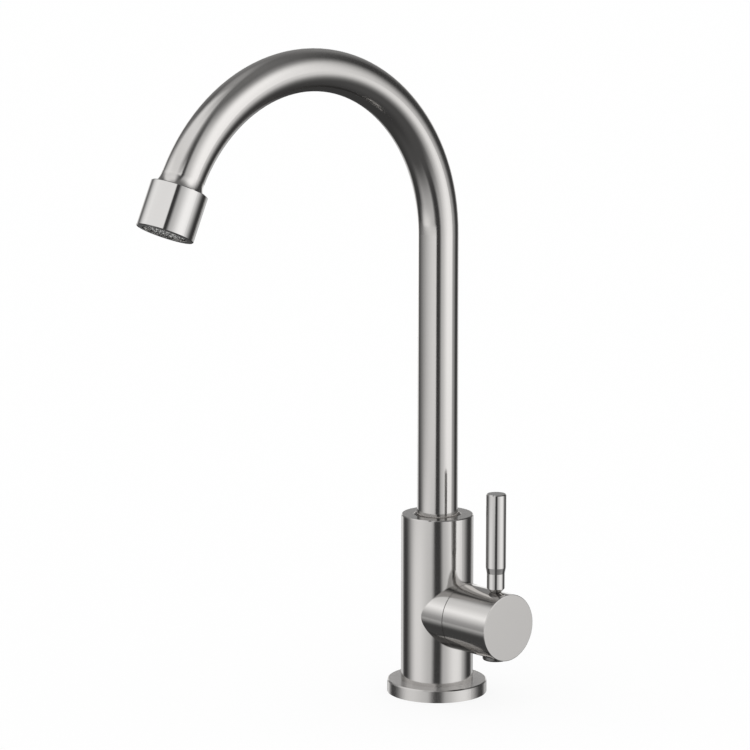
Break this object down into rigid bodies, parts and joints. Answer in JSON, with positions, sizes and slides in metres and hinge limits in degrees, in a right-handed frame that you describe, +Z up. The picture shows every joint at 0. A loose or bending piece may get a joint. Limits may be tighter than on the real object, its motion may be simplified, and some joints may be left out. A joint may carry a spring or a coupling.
{
  "type": "kitchen faucet",
  "caption": "Single-lever kitchen faucet in satin stainless steel: round base, upright column with a side valve and pin lever, and a swivelling gooseneck spout with an aerator.",
  "frame": {"origin": "on the deck, at the centre of the base flange's underside", "axes": "+Z up along the column and the spout's swivel axis, the spout points to -Y and the handle to +X, the user's right"},
  "size_m": [0.0826, 0.2249, 0.3979],
  "materials": {
    "satin_steel": "satin brushed stainless steel",
    "polished_steel": "fine polished stainless steel",
    "plain_steel": "plain machined stainless steel",
    "brass": "machined brass",
    "black_rubber": "moulded",
    "white_plastic": "moulded",
    "valve_ceramic": "lapped"
  },
  "bodies": {
    "column": {"body_column": "satin_steel", "base_flange": "satin_steel", "base_gasket": "black_rubber", "inlet_shank": "plain_steel", "inlet_seal": "black_rubber", "deck_washer": "black_rubber", "clamp_washer": "plain_steel", "lock_nut": "brass", "headwork_bonnet": "brass", "headwork_gasket": "white_plastic", "seat_seal": "black_rubber", "fixed_disc": "valve_ceramic", "spout_thrust_washer": "white_plastic", "guide_bush": "white_plastic", "retaining_clip": "plain_steel"},
    "handle": {"handle_barrel": "satin_steel", "lever_rod": "polished_steel", "set_screw": "plain_steel", "screw_plug": "polished_steel", "spindle": "brass", "turning_disc": "valve_ceramic", "spindle_o_rings": "black_rubber", "spindle_washer": "white_plastic", "spindle_clip": "plain_steel"},
    "spout": {"spout_tube": "satin_steel", "spout_ferrule": "brass", "spout_o_rings": "black_rubber", "outlet_nozzle": "satin_steel", "aerator_sleeve": "polished_steel", "aerator_washer": "black_rubber", "aerator_cage": "white_plastic", "inlet_strainer": "white_plastic", "flow_disc": "white_plastic", "outlet_screen": "plain_steel"}
  },
  "joints": [
    {"name": "spout_swivel", "type": "hinge", "parent": "column", "child": "spout", "pos_m": [0, 0, 0.0885], "axis": [0, 0, 1], "continuous": true},
    {"name": "handle_turn", "type": "hinge", "parent": "column", "child": "handle", "pos_m": [0.0232, 0, 0.0452], "axis": [1, 0, 0], "range_deg": [0, 90]}
  ]
}
